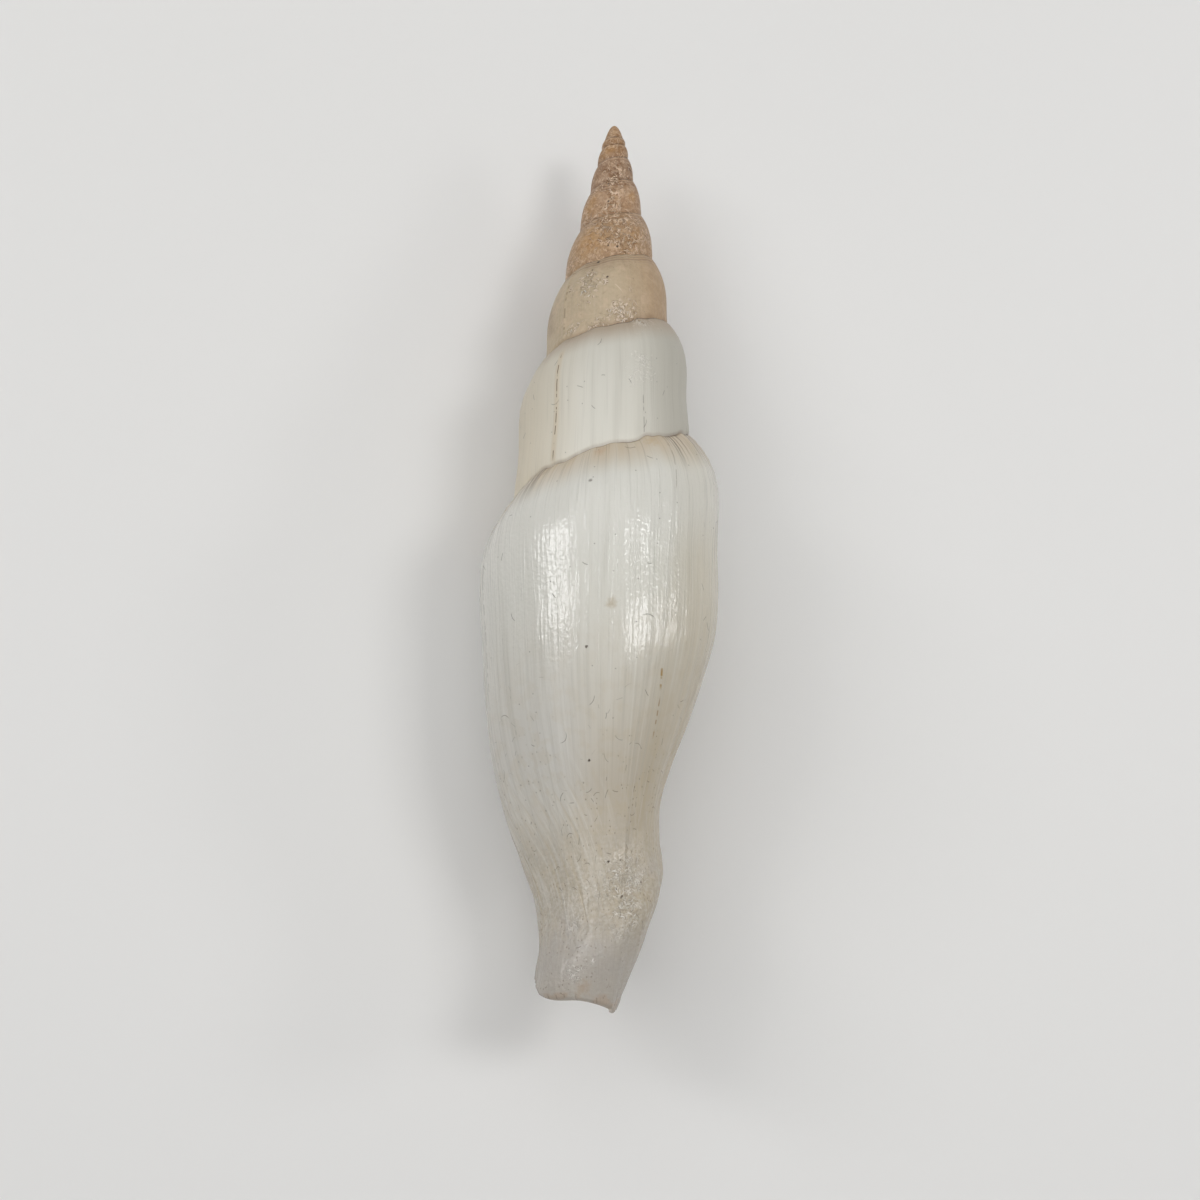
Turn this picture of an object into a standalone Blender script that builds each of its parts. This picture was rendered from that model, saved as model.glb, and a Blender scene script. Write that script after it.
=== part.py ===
"""Miter shell: a long white sea snail shell that lies on its open side.

One closed solid in metres, +Z up.  The shell grew as one coiled wall, so it is one piece.
Every point is given by its turn of growth, its depth below the apex and its radius from the
shell's own axis.  Turn 0 is the edge of the outer lip, and older shell has negative turns.
"""

import bmesh
import bpy
import numpy as np

# ---- driving dimensions, in millimetres, degrees and turns -------------------------------------

MM = 0.001

LIP_ANGLE = 225.0            # where the outer lip ends, measured from +X towards the back
TURNS = 8                    # whorls that are modelled below the apex cap
APEX_DEPTH = 0.4             # depth of the very tip
APEX_ADDED = 0.45            # radius that is added at the tip
APEX_REACH = 3.0             # depth over which that fades

SUTURE_DEPTH = 54.1          # depth of the suture where it meets the lip
SUTURE_GROWTH = 0.4155       # growth of the suture's depth for each turn, as an exponent
SUTURE_UNEVEN = ((-8.0, -5.35, -4.35, -3.35, -2.35, -1.35, -0.35, 0.6),
                 (0.0, -0.25, 0.24, 0.76, 0.17, -0.61, 0.0, 0.0))

GIRTH = 15.9                 # widest radius of the body whorl at the lip
GIRTH_GROWTH = 0.326
GIRTH_UNEVEN = ((-8.0, -6.3, -5.3, -4.3, -3.7, -3.0, -2.5, -2.2, -1.9, -1.52, -1.2, -0.95, 0),
                (-0.1, -0.14, -0.16, -0.12, -0.05, 0, -0.1, -0.18, 0, -0.3, -0.15, 0, 0))
SHOULDER = 0.71              # height of the rounded shoulder, in girths
SHOULDER_EARLY = 0.3         # how much longer that slope is on each earlier whorl
SHOULDER_FROM = -1.4         # turn before which that begins
SHOULDER_ROUND = 2.6
PROFILE_END = 5.5            # last depth of the profiles below, in girths

# radius below the suture, in girths, against the depth below the suture, in girths
BODY_PROFILE = ((0, 0.7, 1.1, 1.5, 1.9, 2.3, 2.7, 3.1, 3.4, 3.75, 4.1, 4.4, 4.65, 4.9, 5.1, 5.5),
                (1, 1, 0.985, 0.994, 0.965, 0.858, 0.727, 0.577, 0.492, 0.484, 0.518, 0.406,
                 0.288, 0.1, 0.03, 0))
# what is added to that profile as the last whorl grows towards the lip
LATE_PROFILE = ((0, 1.0, 1.8, 2.4, 3.0, 3.5, 5.5),
                (0, -0.023, -0.096, -0.085, -0.1, 0, 0))

LATE_START = -0.6            # turn at which none of that is added, and how soon all of it is
LATE_TURNS = 0.5
LATE_LEAST, LATE_MOST = -0.6, 1.3

COLUMN_RADIUS = ((0, 70, 90, 100, 104, 107, 109.4, 110.4),
                 (0, 4.4, 3.6, 2.75, 2.25, 1.6, 1.05, 0.75))
COLUMN_OFFSET = ((0, 85, 100, 104, 109.4),
                 (0, 0.1, 0.85, 1.0, 0.9))
OFFSET_MOST = 0.85           # share of its radius that the column may lie off the axis
COLUMN_SIDE = 25.0           # the direction in which the column leans off the axis
COLUMN_BLEND = 2.6           # width of the rounded corner between wall and column
BLEND_FULL = 90.0            # depth at which that corner is at its widest
BLEND_LEAST = 0.45           # share of the width that is left near the apex

FOLD_HEIGHT = 0.6            # the folds on the column, in step with the suture's depth
FOLD_FIRST = 1.905
FOLD_STEP = 0.126
FOLD_COUNT = 4

COLUMN_END = 109.0           # middle depth of the column's slanted end
COLUMN_SLANT = 1.25          # how much deeper or shallower its rim goes
SLANT_ANGLE = 20.0           # where the rim is deepest
TIP_RISE = 0.35              # how far the rounded end stands proud of the rim
# depth of the free edge round the siphonal notch, against the angle
RIM_DEPTH = ((45, 60, 75, 90, 110, 140, 150, 165, 180, 205, 225),
             (110.13, 110.25, 110.15, 109.85, 109.45, 109.2, 108.75, 107.6, 106.0, 104.1, 102.6))

WALL = 1.15                  # thickness of the outer wall
WALL_GIRTH = 11.0            # girth below which the wall gets thinner
SUTURE_WALL = 0.6            # how much thicker the wall is at the suture, as a share
LEAST_GAP = 0.05             # least width of the hollow
LIP_ROUND = 0.5              # how far the lip's rounded edge stands proud
EDGE_BULGE = 0.6             # most that an edge stands proud, in wall thicknesses
NOTCH_TURN = -0.5            # where the free edge joins the column
CAVITY_TURNS = 1.0           # how far the hollow runs back from the lip
CAVITY_REACH = 3.3           # where the closed part of the hollow ends, in girths

REST_ROLL = 8.7              # turn about the shell's axis that brings lip and belly down
REST_PITCH = 1.96            # how far the spire dips at rest

COLUMNS = 36                 # mesh columns in one turn
UPPER_ROWS = 5               # rows between two sutures
LOWER_ROWS = 24              # rows from there to the front end
CAP_ROWS = 4                 # rings in the rounded caps at apex and tip
UPPER_SHARE = 0.6            # most of the last whorl's height that those upper rows take
JOIN_WITHIN = 0.002          # points nearer than this become one
SHARP_ANGLE = 50.0           # edges sharper than this are not smoothed

SHELL_COLOUR = (0.62, 0.59, 0.52, 1)
SHELL_ROUGHNESS = 0.32


# ---- shape of the shell ------------------------------------------------------------------------

def smooth_curve(x, curve):
    """A curve through the given points, with an even slope at each (cubic Hermite)."""
    knots, values = np.array(curve[0], float), np.array(curve[1], float)
    slopes = np.gradient(values, knots)
    x = np.clip(x, knots[0], knots[-1])
    i = np.clip(np.searchsorted(knots, x) - 1, 0, len(knots) - 2)
    width = knots[i + 1] - knots[i]
    t = (x - knots[i]) / width
    start = values[i] * (1 + 2 * t) * (1 - t) ** 2 + slopes[i] * width * t * (1 - t) ** 2
    end = values[i + 1] * t * t * (3 - 2 * t) + slopes[i + 1] * width * t * t * (t - 1)
    return start + end


def ramp(x, low, high):
    """0 below low, 1 above high, and an eased step between."""
    t = np.clip((x - low) / (high - low), 0, 1)
    return t * t * (3 - 2 * t)


def soft_max(a, b, width):
    """The larger of two radii, with a rounded corner where they cross."""
    near = np.maximum(width - np.abs(a - b), 0) / width
    return np.maximum(a, b) + near * near * width / 4


def angle_of(turn):
    return LIP_ANGLE + 360 * turn


def suture(turn):
    """Depth of the suture: it grows by the same factor each turn, with small uneven steps."""
    return SUTURE_DEPTH * np.exp(SUTURE_GROWTH * turn) + smooth_curve(turn, SUTURE_UNEVEN)


def girth(turn):
    return GIRTH * np.exp(GIRTH_GROWTH * turn) + smooth_curve(turn, GIRTH_UNEVEN)


def profile(turn, below):
    """Radius in girths at a depth below the suture, fuller or slimmer as the lip is neared."""
    late = np.clip((turn - LATE_START) / LATE_TURNS, LATE_LEAST, LATE_MOST)
    return smooth_curve(below, BODY_PROFILE) + smooth_curve(below, LATE_PROFILE) * late


def column_radius(angle, depth):
    """The column in the middle: a tapering post whose centre moves off the axis near its end."""
    radius = smooth_curve(depth, COLUMN_RADIUS)
    offset = np.minimum(smooth_curve(depth, COLUMN_OFFSET), OFFSET_MOST * radius)
    side = np.radians(angle - COLUMN_SIDE)
    return offset * np.cos(side) + np.sqrt(radius ** 2 - (offset * np.sin(side)) ** 2 + 1e-9)


def fold_height(turn, depth):
    """Oblique folds on the column, which run inwards from the mouth."""
    x = depth / suture(turn)
    first = FOLD_FIRST - FOLD_STEP / 2
    last = first + FOLD_STEP * FOLD_COUNT
    wave = np.maximum(np.cos(2 * np.pi * (x - FOLD_FIRST) / FOLD_STEP), 0) ** 2
    window = ramp(x, first, first + 0.03) * (1 - ramp(x, last - 0.06, last))
    return FOLD_HEIGHT * wave * window * (1 - ramp(turn, -1.0, -0.92))


def outer_radius(turn, depth):
    """Radius of the wall: it leaves the whorl before at the suture and swells to its girth."""
    size = girth(turn)
    below = (depth - suture(turn)) / size
    before = girth(turn - 1) * profile(turn - 1, (suture(turn) - suture(turn - 1)) / girth(turn - 1))
    slope = SHOULDER + SHOULDER_EARLY * np.clip(SHOULDER_FROM - turn, 0, 3)
    slope = np.minimum(slope, (suture(turn + 1) - suture(turn)) / size)
    swell = 1 - (1 - np.clip(below / slope, 0, 1)) ** SHOULDER_ROUND
    radius = (before + (size - before) * swell) * profile(turn, np.clip(below, 0, PROFILE_END))
    radius += APEX_ADDED * np.exp(-(depth / APEX_REACH) ** 2)
    column = column_radius(angle_of(turn), depth)
    blend = COLUMN_BLEND * np.clip(depth / BLEND_FULL, BLEND_LEAST, 1)
    return soft_max(radius, column, blend) + fold_height(turn, depth)


def column_end(turn):
    """Depth of the column's end, which is cut off aslant."""
    return COLUMN_END + COLUMN_SLANT * np.cos(np.radians(angle_of(turn) - SLANT_ANGLE))


def end_depth(turn):
    """Depth of the wall's lower edge: the column's end, then the free edge round the notch."""
    angle = angle_of(turn)
    return np.where(angle <= RIM_DEPTH[0][0], column_end(turn), smooth_curve(angle, RIM_DEPTH))


def hollow_end(turn):
    """Depth of the hollow's lower end, which climbs away from the tip behind the notch."""
    own = suture(turn) + CAVITY_REACH * girth(turn)
    return own + (column_end(turn) - own) * ramp(turn, NOTCH_TURN - 0.14, NOTCH_TURN) ** 2


def place(turn, depth, radius):
    """Points in the shell's own frame: axis along Y with the apex at the origin, back to +Z."""
    angle = np.radians(angle_of(turn))
    return np.stack([radius * np.cos(angle), -depth, radius * np.sin(angle)], -1)


def rest_pose(points):
    """Turns the shell onto its lip and belly, and stands it on Z = 0 about the origin."""
    roll, pitch = np.radians(REST_ROLL), np.radians(REST_PITCH)
    x, y, z = points.T
    x, z = x * np.cos(roll) - z * np.sin(roll), x * np.sin(roll) + z * np.cos(roll)
    y, z = y * np.cos(pitch) + z * np.sin(pitch), z * np.cos(pitch) - y * np.sin(pitch)
    points = np.stack([x, y, z], -1)
    low, high = points.min(0), points.max(0)
    middle = (low + high) / 2
    return (points - np.array([middle[0], middle[1], low[2]])) * MM


# ---- grids of points ---------------------------------------------------------------------------

def turns_between(start, end):
    return np.arange(round(start * COLUMNS), round(end * COLUMNS) + 1) / COLUMNS


def spire_grid():
    """The whorls above the body whorl, each from its own suture to the next."""
    turn = turns_between(-TURNS, -1)[:, None]
    part = np.linspace(0, 1, UPPER_ROWS + 1)[None, :]
    depth = suture(turn) + (suture(turn + 1) - suture(turn)) * part
    return place(turn + 0 * depth, depth, outer_radius(turn, depth))


def body_depths(turn):
    """Rows of the last whorl: down to where the next suture would be, then to the end."""
    top, end = suture(turn), end_depth(turn)
    middle = np.minimum(suture(turn + 1), top + (end - top) * UPPER_SHARE)
    upper = top + (middle - top) * np.linspace(0, 1, UPPER_ROWS + 1)[None, :-1]
    lower = middle + (end - middle) * np.linspace(0, 1, LOWER_ROWS + 1)[None, :]
    return np.concatenate([upper, lower], 1)


def body_grid():
    turn = turns_between(-1, 0)[:, None]
    depth = body_depths(turn)
    return place(turn + 0 * depth, depth, outer_radius(turn, depth))


def inner_side_grids():
    """The hollow's two sides: the whorl before and the column, and the outer wall's inside."""
    turn = turns_between(-CAVITY_TURNS, 0)[:, None]
    end = np.where(turn >= NOTCH_TURN - 1e-9, column_end(turn), hollow_end(turn))
    top = suture(turn)
    depth = top + (end - top) * np.linspace(0, 1, LOWER_ROWS + 1)[None, 1:]
    column_side = place(turn - 1 + 0 * depth, depth, outer_radius(turn - 1, depth))

    rows = body_depths(turn)
    share = (rows - rows[:, :1]) / (rows[:, -1:] - rows[:, :1])
    end = np.where(turn <= NOTCH_TURN + 1e-9, end, rows[:, -1:])
    depth = depth[:, :1] + (end - depth[:, :1]) * share
    inner = outer_radius(turn - 1, depth)
    below = (depth - suture(turn)) / girth(turn)
    wall = WALL * np.minimum(1, girth(turn) / WALL_GIRTH) * (1 + SUTURE_WALL * np.exp(-below / 0.3))
    gap = np.maximum(outer_radius(turn, depth) - wall - inner, LEAST_GAP)
    down = np.linspace(0, 1, depth.shape[1])[None, :]
    gap = gap * np.sqrt(np.minimum(1, down * 12))
    gap = gap * (1 - (1 - ramp(turn, NOTCH_TURN, NOTCH_TURN + 0.12)) * down ** 5)
    gap = gap * (0.1 + 0.9 * ramp(turn, -CAVITY_TURNS, -CAVITY_TURNS + 0.25))
    wall_side = place(turn + 0 * depth, depth, inner + gap)
    wall_side[:, 0] = column_side[:, 0]
    closed = turn[:, 0] <= NOTCH_TURN + 1e-9
    wall_side[closed, -1] = column_side[closed, -1]
    return column_side, wall_side


# ---- mesh --------------------------------------------------------------------------------------

class Sheets:
    """Collects grids and fans of points, and the faces on them."""

    def __init__(self):
        self.points, self.faces, self.count = [], [], 0

    def store(self, points):
        start = self.count
        self.points.append(points.reshape(-1, 3))
        self.count += len(self.points[-1])
        return start

    def grid(self, points, turned=False):
        rows, columns = points.shape[:2]
        index = np.arange(rows * columns).reshape(rows, columns) + self.store(points)
        quads = np.stack([index[:-1, :-1], index[1:, :-1], index[1:, 1:], index[:-1, 1:]], -1)
        quads = quads.reshape(-1, 4)
        self.faces += (quads[:, ::-1] if turned else quads).tolist()

    def fan(self, loop, middle, turned=False):
        start = self.store(np.vstack([loop, middle]))
        index = np.arange(len(loop))
        after = (index + 1) % len(loop)
        triangles = np.stack([index, after, np.full(len(loop), len(loop))], -1) + start
        self.faces += (triangles[:, ::-1] if turned else triangles).tolist()


def rounded_edge(outside, inside, outwards):
    """Three points across the wall's edge, the middle one proud where the wall is thick."""
    thick = np.linalg.norm(outside - inside, axis=1)[:, None]
    middle = (outside + inside) / 2 + outwards * np.minimum(1, EDGE_BULGE * thick / LIP_ROUND)
    return np.stack([outside, middle, inside], 1)


def add_dome(sheets, loop, top, turned=False):
    """A rounded cap: rings whose width falls as the square root of what is left to the top."""
    width = 1 - np.linspace(0, 1, CAP_ROWS + 1)[:-1, None]
    x, y, z = (top[axis] + (loop[None, :, axis] - top[axis]) * share
               for axis, share in enumerate((width, width ** 2, width)))
    rings = np.stack([x, y, z], -1)
    sheets.grid(np.concatenate([rings, rings[:, :1]], 1), turned=not turned)
    sheets.fan(rings[-1], top, turned)


def shell_sheets():
    """Joins all grids: outside, lip, notch, hollow, and the caps at apex, tip and hollow end."""
    sheets = Sheets()
    spire, body = spire_grid(), body_grid()
    column_side, wall_side = inner_side_grids()
    root = round((1 + NOTCH_TURN) * COLUMNS)
    hollow_root = round((CAVITY_TURNS + NOTCH_TURN) * COLUMNS)
    body[root, -1] = column_side[hollow_root, -1]

    lip_way = np.radians(LIP_ANGLE + 90)
    outwards = np.array([np.cos(lip_way), 0, np.sin(lip_way)]) * LIP_ROUND
    lip = rounded_edge(body[-1], wall_side[-1], outwards)
    lip[0, 1] = lip[0, 0]

    down = np.array([0, -LIP_ROUND, 0])
    notch = rounded_edge(body[root:, -1], wall_side[hollow_root:, -1], down)
    notch[-1] = lip[-1]

    sheets.grid(spire)
    sheets.grid(body)
    sheets.grid(column_side)
    sheets.grid(wall_side, turned=True)
    sheets.grid(lip, turned=True)
    sheets.grid(notch)
    apex_loop = np.vstack([spire[:COLUMNS + 1, 0], spire[0, -2:0:-1]])
    add_dome(sheets, apex_loop, np.array([0, -APEX_DEPTH, 0]), True)
    tip_loop = np.vstack([body[:root, -1], column_side[hollow_root:-1, -1]])
    add_dome(sheets, tip_loop, tip_loop.mean(0) - (0, TIP_RISE, 0))
    hollow_loop = np.vstack([wall_side[0], column_side[0, -2:0:-1]])
    sheets.fan(hollow_loop, hollow_loop.mean(0), True)
    return sheets


def glazed_white():
    """Dull white shell with a thin glaze."""
    material = bpy.data.materials.new("shell_white")
    material.use_nodes = True
    shader = material.node_tree.nodes["Principled BSDF"]
    shader.inputs["Base Color"].default_value = SHELL_COLOUR
    shader.inputs["Roughness"].default_value = SHELL_ROUGHNESS
    shader.inputs["Metallic"].default_value = 0.0
    return material


def make_shell():
    sheets = shell_sheets()
    mesh = bpy.data.meshes.new("shell")
    mesh.from_pydata(rest_pose(np.vstack(sheets.points)).tolist(), [], sheets.faces)
    mesh.update()
    joined = bmesh.new()
    joined.from_mesh(mesh)
    bmesh.ops.remove_doubles(joined, verts=joined.verts, dist=JOIN_WITHIN * MM)
    bmesh.ops.triangulate(joined, faces=joined.faces)
    joined.to_mesh(mesh)
    joined.free()
    mesh.materials.append(glazed_white())
    mesh.shade_smooth()
    mesh.set_sharp_from_angle(angle=np.radians(SHARP_ANGLE))
    shell = bpy.data.objects.new("shell", mesh)
    bpy.context.scene.collection.objects.link(shell)
    return shell


for old in list(bpy.data.objects):
    bpy.data.objects.remove(old)
make_shell()
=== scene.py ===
import bmesh
import bpy
import numpy as np
from mathutils import Matrix, Vector


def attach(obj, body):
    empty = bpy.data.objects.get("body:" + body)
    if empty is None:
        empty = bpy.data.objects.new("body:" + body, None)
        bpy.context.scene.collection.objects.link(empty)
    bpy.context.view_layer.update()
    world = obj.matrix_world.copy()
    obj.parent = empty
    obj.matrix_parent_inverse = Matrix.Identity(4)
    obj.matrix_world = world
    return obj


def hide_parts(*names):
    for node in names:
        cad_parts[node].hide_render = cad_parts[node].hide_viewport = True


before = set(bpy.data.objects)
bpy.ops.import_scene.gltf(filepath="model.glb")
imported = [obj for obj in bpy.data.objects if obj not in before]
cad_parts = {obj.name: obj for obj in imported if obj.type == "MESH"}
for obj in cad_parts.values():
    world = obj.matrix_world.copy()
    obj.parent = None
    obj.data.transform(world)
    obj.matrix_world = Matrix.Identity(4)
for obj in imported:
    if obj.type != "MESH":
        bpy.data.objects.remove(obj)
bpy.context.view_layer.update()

# millimetres, degrees and turns of growth; turn 0 is the outer lip
form = {
    "lipAngle": 225.0,          # where the lip ends, from +X towards the back
    "turns": 8,
    "apexDepth": 0.4,
    "apexAdded": 0.45,          # radius added at the apex, and the depth over which it fades
    "apexReach": 3.0,
    "sutureDepth": 54.1,        # depth of the suture at the lip, below the apex
    "sutureGrowth": 0.4155,
    "sutureUneven": ((-8.0, -5.35, -4.35, -3.35, -2.35, -1.35, -0.35, 0.6),
                     (0.0, -0.25, 0.24, 0.76, 0.17, -0.61, 0.0, 0.0)),
    "sutureWave": 0.32,         # how far the suture's edge wavers
    "sutureGroove": 0.16,       # depth of the fine channel along the suture
    "girth": 15.9,              # widest radius at the lip
    "girthGrowth": 0.326,
    "girthUneven": ((-8.0, -6.3, -5.3, -4.3, -3.7, -3.0, -2.5, -2.2, -1.9, -1.52, -1.2, -0.95, 0),
                    (-0.1, -0.14, -0.16, -0.12, -0.05, 0, -0.1, -0.18, 0, -0.3, -0.15, 0, 0)),
    "shoulder": 0.71,           # height of the rounded shoulder, in girths
    "shoulderEarly": 0.3,       # how much longer it is on each whorl before this turn
    "shoulderFrom": -1.4,
    "shoulderRound": 2.6,
    # radius in girths against depth below the suture in girths, and what the last whorl adds
    "bodyProfile": ((0, 0.7, 1.1, 1.5, 1.9, 2.3, 2.7, 3.1, 3.4, 3.75, 4.1, 4.4, 4.65, 4.9, 5.1, 5.5),
                    (1, 1, 0.985, 0.994, 0.965, 0.858, 0.727, 0.577, 0.492, 0.484, 0.518, 0.406,
                     0.288, 0.1, 0.03, 0)),
    "lateProfile": ((0, 1.0, 1.8, 2.4, 3.0, 3.5, 5.5),
                    (0, -0.023, -0.096, -0.085, -0.1, 0, 0)),
    "profileEnd": 5.5,
    "lateStart": -0.6,          # turn at which none of that is added, and how soon all of it is
    "lateTurns": 0.5,
    "lateRange": (-0.6, 1.3),
    "columnRadius": ((0, 70, 90, 100, 104, 107, 109.4, 110.4),
                     (0, 4.4, 3.6, 2.75, 2.25, 1.6, 1.05, 0.75)),
    "columnOffset": ((0, 85, 100, 104, 109.4),
                     (0, 0.1, 0.85, 1.0, 0.9)),
    "offsetMost": 0.85,         # share of its radius that the column may lie off the axis
    "columnSide": 25.0,
    "columnBlend": 2.6,         # eases the column into the wall, fully from this depth down
    "blendDepth": 90,
    "blendLeast": 0.45,         # share of that near the apex
    "foldHeight": 0.6,          # four folds on the column, in step with the suture's depth
    "foldFirst": 1.905,
    "foldStep": 0.126,
    "foldCount": 4,
    "columnEnd": 109.0,         # the column is cut off aslant: its middle depth,
    "columnSlant": 1.25,        # how much deeper or shallower its rim goes,
    "slantAngle": 20.0,         # and where it is deepest
    "tipRise": 0.35,            # how far its rounded end stands proud
    "rimDepth": ((45, 60, 75, 90, 110, 140, 150, 165, 180, 205, 225),
                 (110.13, 110.25, 110.15, 109.85, 109.45, 109.2, 108.75, 107.6, 106.0, 104.1, 102.6)),
    "wall": 1.15,
    "thinGirth": 11,            # the wall gets thinner below this girth
    "sutureWall": 0.6,          # how much thicker it is at the suture, as a share
    "leastGap": 0.05,           # least width of the hollow
    "lipRound": 0.5,            # how far the lip's rounded edge stands proud
    "edgeBulge": 0.6,           # most that it does so, in wall thicknesses
    "notchTurn": -0.5,          # where the free edge joins the column
    "cavityTurns": 1.0,         # how far the hollow runs back
    "cavityReach": 3.3,         # how far down its closed part goes, in girths
    "restRoll": 8.7,            # lays lip and belly down
    "restPitch": 1.96,
    "columns": 260,             # mesh columns a turn
    "upperRows": 16,
    "lowerRows": 100,
    "hollowColumns": 20,        # between the notch and the hollow's end
    "lipRows": 4,
    "domeRings": 8,
    "joinWithin": 2e-6,         # metres
    "sharpAngle": 60,
    "ridge": 0.0022,            # growth ridges, in girths
    "ridgesATurn": (88, 31),    # the fine ones and the broad ones
    "footUneven": 0.14,         # lumps on the foot
    # turn of each growth scar, its height, the turns it fades over, how far it leans per millimetre
    "scars": ((-2.2400, 0.16, 0.010, 0), (-1.2700, 0.05, 0.006, 0), (-0.4690, 0.14, 0.012, 0.0009),
              (-0.3980, 0.05, 0.005, 0), (-0.2770, 0.05, 0.005, 0), (-0.2620, 0.05, 0.006, 0),
              (-0.1620, 0.08, 0.005, 0), (-0.1500, 0.08, 0.006, 0)),
}


def smoothCurve(x, curve):
    # cubic through the given points: values and slopes at both ends of a span, blended by t
    knots, values = np.array(curve[0], float), np.array(curve[1], float)
    slopes = np.gradient(values, knots)
    x = np.clip(x, knots[0], knots[-1])
    i = np.clip(np.searchsorted(knots, x) - 1, 0, len(knots) - 2)
    width = knots[i + 1] - knots[i]
    t = (x - knots[i]) / width
    start = values[i] * (1 + 2 * t) * (1 - t) ** 2 + slopes[i] * width * t * (1 - t) ** 2
    end = values[i + 1] * t * t * (3 - 2 * t) + slopes[i + 1] * width * t * t * (t - 1)
    return start + end


def easeStep(x, low, high):
    # 0 at low, 1 at high, 3t² - 2t³ between
    t = np.clip((x - low) / (high - low), 0, 1)
    return t * t * (3 - 2 * t)


def softMax(a, b, width):
    # the larger of the two, plus a parabola of the given width where they cross
    near = np.maximum(width - np.abs(a - b), 0) / width
    return np.maximum(a, b) + near * near * width / 4


def latticeNoise(u, v, seed):
    # random numbers from -1 to 1 on whole u and v, eased between with 3t² - 2t³
    table = np.random.default_rng(seed).uniform(-1, 1, (512, 512))
    iu, iv = np.floor(u).astype(int), np.floor(v).astype(int)
    tu, tv = u - iu, v - iv
    tu, tv = tu * tu * (3 - 2 * tu), tv * tv * (3 - 2 * tv)
    a, b = table[iu % 512, iv % 512], table[(iu + 1) % 512, iv % 512]
    c, d = table[iu % 512, (iv + 1) % 512], table[(iu + 1) % 512, (iv + 1) % 512]
    return (a * (1 - tu) + b * tu) * (1 - tv) + (c * (1 - tu) + d * tu) * tv


def angleOf(turn):
    # the lip's angle plus a full circle a turn
    return form["lipAngle"] + 360 * turn


def sutureDepth(turn):
    # depth = D·exp(k·turn), plus small uneven steps and a fine waver
    plain = form["sutureDepth"] * np.exp(form["sutureGrowth"] * turn)
    waver = latticeNoise(turn * 24, 0 * turn, 3) + 0.5 * latticeNoise(turn * 61, 0 * turn, 4)
    waver = waver * form["sutureWave"] * np.clip(plain / 35, 0, 1) ** 2
    return plain + smoothCurve(turn, form["sutureUneven"]) + waver


def girthOf(turn):
    # girth = G·exp(k·turn), plus small uneven steps
    return form["girth"] * np.exp(form["girthGrowth"] * turn) + smoothCurve(turn, form["girthUneven"])


def wallProfile(turn, below):
    # radius in girths, a blend of two curves by how near the lip is
    late = np.clip((turn - form["lateStart"]) / form["lateTurns"], *form["lateRange"])
    return smoothCurve(below, form["bodyProfile"]) + smoothCurve(below, form["lateProfile"]) * late


def columnRadius(angle, depth):
    # distance from the axis to a circle whose centre is off the axis, along the given angle
    radius = smoothCurve(depth, form["columnRadius"])
    offset = np.minimum(smoothCurve(depth, form["columnOffset"]), form["offsetMost"] * radius)
    side = np.radians(angle - form["columnSide"])
    return offset * np.cos(side) + np.sqrt(radius ** 2 - (offset * np.sin(side)) ** 2 + 1e-9)


def foldHeight(turn, depth):
    # cosine bumps, squared, in a window of depth over suture depth
    x = depth / sutureDepth(turn)
    step = form["foldStep"]
    first = form["foldFirst"] - step / 2
    last = first + step * form["foldCount"]
    wave = np.maximum(np.cos(2 * np.pi * (x - form["foldFirst"]) / step), 0) ** 2
    window = easeStep(x, first, first + 0.03) * (1 - easeStep(x, last - 0.06, last))
    return form["foldHeight"] * wave * window * (1 - easeStep(turn, -1.0, -0.92))


def outerRadius(turn, depth):
    # leaves the whorl before at the suture, swells to its girth as 1 - (1 - x)^n, then follows
    # the profile; the column shows through where it is larger
    size = girthOf(turn)
    below = (depth - sutureDepth(turn)) / size
    before = (sutureDepth(turn) - sutureDepth(turn - 1)) / girthOf(turn - 1)
    before = girthOf(turn - 1) * wallProfile(turn - 1, before)
    slope = form["shoulder"] + form["shoulderEarly"] * np.clip(form["shoulderFrom"] - turn, 0, 3)
    slope = np.minimum(slope, (sutureDepth(turn + 1) - sutureDepth(turn)) / size)
    swell = 1 - (1 - np.clip(below / slope, 0, 1)) ** form["shoulderRound"]
    shape = wallProfile(turn, np.clip(below, 0, form["profileEnd"]))
    radius = (before + (size - before) * swell) * shape
    radius += form["apexAdded"] * np.exp(-(depth / form["apexReach"]) ** 2)
    column = columnRadius(angleOf(turn), depth)
    blend = form["columnBlend"] * np.clip(depth / form["blendDepth"], form["blendLeast"], 1)
    return softMax(radius, column, blend) + foldHeight(turn, depth)


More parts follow.
